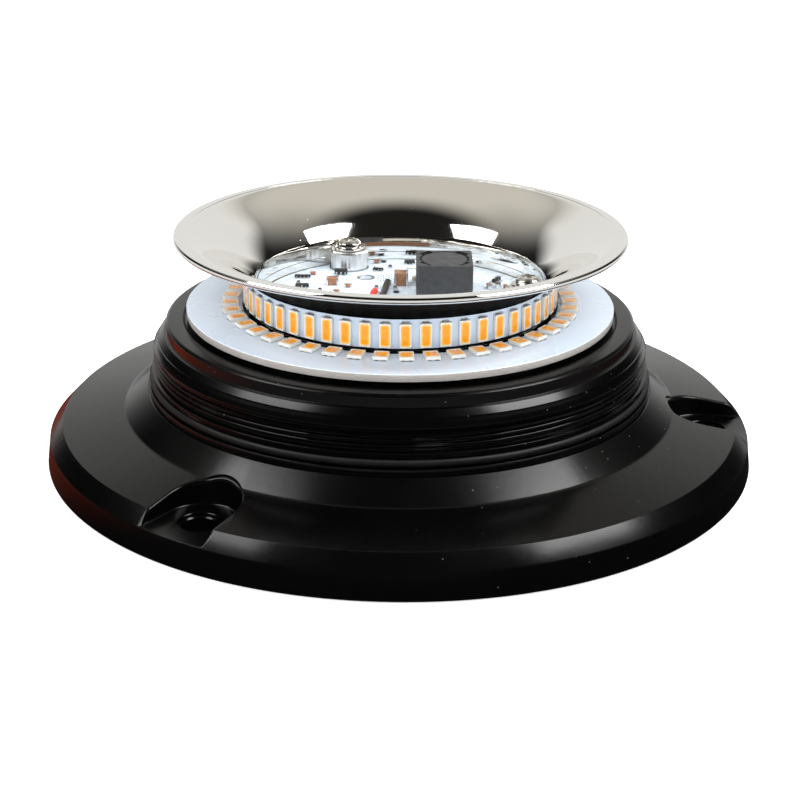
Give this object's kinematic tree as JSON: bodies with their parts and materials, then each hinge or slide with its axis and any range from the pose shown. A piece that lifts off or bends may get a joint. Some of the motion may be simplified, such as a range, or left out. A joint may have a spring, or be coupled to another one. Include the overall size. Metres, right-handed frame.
{
  "type": "amber led warning beacon base unit",
  "caption": "Round bolt-down warning beacon without its dome: black threaded base, ring board and wall strip of amber LEDs, chromed trumpet reflector and driver board.",
  "frame": {"origin": "centre of the flange's mounting face", "axes": "+Z is the beacon's upright axis, away from the mounting face; -Y is the side seen from the front; +X is to the right"},
  "size_m": [0.1598, 0.1598, 0.0509],
  "materials": {
    "housing_black": "satin black moulding with a slight orange-peel skin, scuffed along the thread",
    "rubber_black": "matt black rubber",
    "cover_black": "matt black moulding",
    "white_mask_metal": "white solder mask on aluminium with a bare sheared edge",
    "white_mask_board": "white solder mask on glass-fibre laminate",
    "emitter_amber": "amber phosphor window in an off-white emitter body on white mask",
    "reflector_chrome": "bright mirror plating",
    "plated_steel": "bright nickel-plated steel",
    "ferrite_grey": "dark grey ferrite",
    "capacitor_brown": "brown ceramic with tinned ends",
    "chip_black": "black moulded package with tinned leads",
    "nylon_white": "natural white nylon",
    "lead_red": "red insulated wire",
    "lead_black": "black insulated wire"
  },
  "bodies": {
    "base": {"base_housing": "housing_black", "mounting_gasket": "rubber_black", "dome_seal_ring": "rubber_black", "bottom_cover": "cover_black", "cover_screw_1": "plated_steel", "cover_screw_2": "plated_steel", "cover_screw_3": "plated_steel", "cable_grommet": "rubber_black", "supply_cable": "rubber_black", "cable_tie": "nylon_white", "lead_socket": "nylon_white", "led_ring_board": "white_mask_metal", "flat_led_ring": "emitter_amber"},
    "reflector_unit": {"reflector": "reflector_chrome", "vertical_led_strip": "emitter_amber", "driver_board": "white_mask_board", "inductor_shield": "ferrite_grey", "inductor_core": "ferrite_grey", "input_capacitor": "capacitor_brown", "output_capacitor": "capacitor_brown", "controller_chip": "chip_black", "switch_transistor": "chip_black", "rectifier_diode": "chip_black", "timer_chip": "chip_black", "red_lead": "lead_red", "black_lead": "lead_black", "lead_plug": "nylon_white", "washer_1": "plated_steel", "washer_2": "plated_steel", "washer_3": "plated_steel"},
    "reflector_screw_1": {"screw_1": "plated_steel"},
    "reflector_screw_2": {"screw_2": "plated_steel"},
    "reflector_screw_3": {"screw_3": "plated_steel"}
  },
  "joints": [
    {"name": "unit_lift", "type": "slide", "parent": "base", "child": "reflector_unit", "axis": [0, 0, 1], "range_m": [0, 0.03]},
    {"name": "screw_1_back_out", "type": "slide", "parent": "reflector_unit", "child": "reflector_screw_1", "axis": [0, 0, 1], "range_m": [0, 0.012]},
    {"name": "screw_2_back_out", "type": "slide", "parent": "reflector_unit", "child": "reflector_screw_2", "axis": [0, 0, 1], "range_m": [0, 0.012]},
    {"name": "screw_3_back_out", "type": "slide", "parent": "reflector_unit", "child": "reflector_screw_3", "axis": [0, 0, 1], "range_m": [0, 0.012]}
  ]
}
